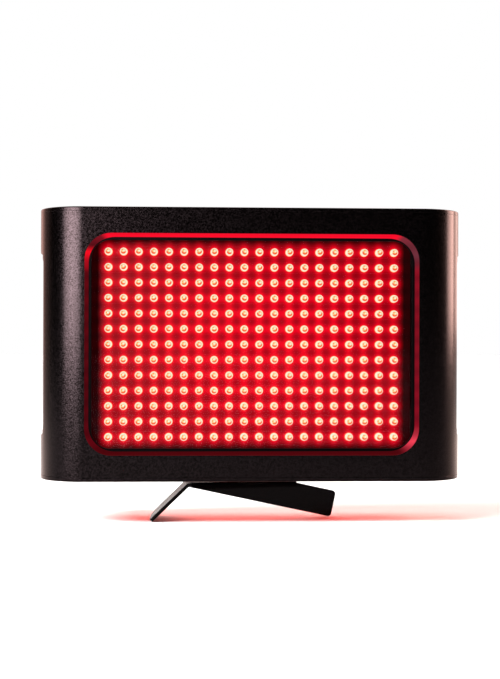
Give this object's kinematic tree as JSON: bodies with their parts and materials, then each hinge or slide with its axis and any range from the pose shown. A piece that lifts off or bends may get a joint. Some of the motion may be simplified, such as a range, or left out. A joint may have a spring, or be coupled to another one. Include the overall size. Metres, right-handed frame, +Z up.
{
  "type": "red light therapy panel",
  "caption": "Desktop red light therapy panel: a lit window of domed red LEDs in a vented aluminium housing that swivels on a folded steel stand.",
  "frame": {"origin": "middle of the footprint, on the surface that the stand rests on", "axes": "+X to the viewer's right along the housing's width, +Y from the lit front to the back, +Z up"},
  "size_m": [0.278, 0.0642, 0.204],
  "materials": {
    "shell_anodised": "bead-blasted satin black anodised",
    "cap_anodised": "satin black anodised",
    "cover_powder_coat": "fine-texture black powder coat",
    "bezel_plastic": "matt black moulded",
    "lens_acrylic": "clear polished acrylic",
    "board_mask": "dark solder mask",
    "led_epoxy": "lit red epoxy domes",
    "heat_sink_aluminium": "raw extruded",
    "driver_aluminium": "folded raw sheet",
    "fan_plastic": "moulded black",
    "socket_plastic": "moulded black",
    "rocker_plastic": "moulded gloss black",
    "zinc_steel": "zinc plated",
    "washer_nylon": "natural nylon",
    "stand_powder_coat": "satin black powder coat"
  },
  "bodies": {
    "stand": {"swivel_stand": "stand_powder_coat", "pivot_bolt": "zinc_steel", "pivot_washer": "washer_nylon"},
    "panel": {"housing_shell": "shell_anodised", "top_cap": "cap_anodised", "bottom_cap": "cap_anodised", "rear_cover": "cover_powder_coat", "window_bezel": "bezel_plastic", "front_lens": "lens_acrylic", "led_board": "board_mask", "led_row_01": "led_epoxy", "led_row_02": "led_epoxy", "led_row_03": "led_epoxy", "led_row_04": "led_epoxy", "led_row_05": "led_epoxy", "led_row_06": "led_epoxy", "led_row_07": "led_epoxy", "led_row_08": "led_epoxy", "led_row_09": "led_epoxy", "led_row_10": "led_epoxy", "led_row_11": "led_epoxy", "led_row_12": "led_epoxy", "led_row_13": "led_epoxy", "heat_sink": "heat_sink_aluminium", "board_spacer_1": "washer_nylon", "board_spacer_2": "washer_nylon", "board_spacer_3": "washer_nylon", "board_spacer_4": "washer_nylon", "board_screw_1": "zinc_steel", "board_screw_2": "zinc_steel", "board_screw_3": "zinc_steel", "board_screw_4": "zinc_steel", "fan_frame_left": "fan_plastic", "fan_frame_right": "fan_plastic", "led_driver": "driver_aluminium", "inlet_socket": "socket_plastic", "switch_frame": "socket_plastic", "top_cap_screw_1": "zinc_steel", "top_cap_screw_2": "zinc_steel", "bottom_cap_screw_1": "zinc_steel", "bottom_cap_screw_2": "zinc_steel", "rear_cover_screw_1": "zinc_steel", "rear_cover_screw_2": "zinc_steel", "rear_cover_screw_3": "zinc_steel", "rear_cover_screw_4": "zinc_steel", "rear_cover_screw_5": "zinc_steel", "rear_cover_screw_6": "zinc_steel", "fan_screw_1": "zinc_steel", "fan_screw_2": "zinc_steel", "fan_screw_3": "zinc_steel", "fan_screw_4": "zinc_steel", "fan_screw_5": "zinc_steel", "fan_screw_6": "zinc_steel", "fan_screw_7": "zinc_steel", "fan_screw_8": "zinc_steel", "pivot_nut": "zinc_steel"},
    "fan_left": {"fan_rotor_left": "fan_plastic"},
    "fan_right": {"fan_rotor_right": "fan_plastic"},
    "rocker": {"switch_rocker": "rocker_plastic"}
  },
  "joints": [
    {"name": "stand_swivel", "type": "hinge", "parent": "stand", "child": "panel", "pos_m": [0, -0.00306, 0.026], "axis": [0, 0, 1], "range_deg": [-90, 90]},
    {"name": "fan_left_spin", "type": "hinge", "parent": "panel", "child": "fan_left", "pos_m": [-0.06, 0.01899, 0.1535], "axis": [0, 1, 0], "continuous": true},
    {"name": "fan_right_spin", "type": "hinge", "parent": "panel", "child": "fan_right", "pos_m": [0.06, 0.01899, 0.1535], "axis": [0, 1, 0], "continuous": true},
    {"name": "switch_tilt", "type": "hinge", "parent": "panel", "child": "rocker", "pos_m": [0.052, 0.02784, 0.0635], "axis": [1, 0, 0], "range_deg": [-16, 0]}
  ]
}
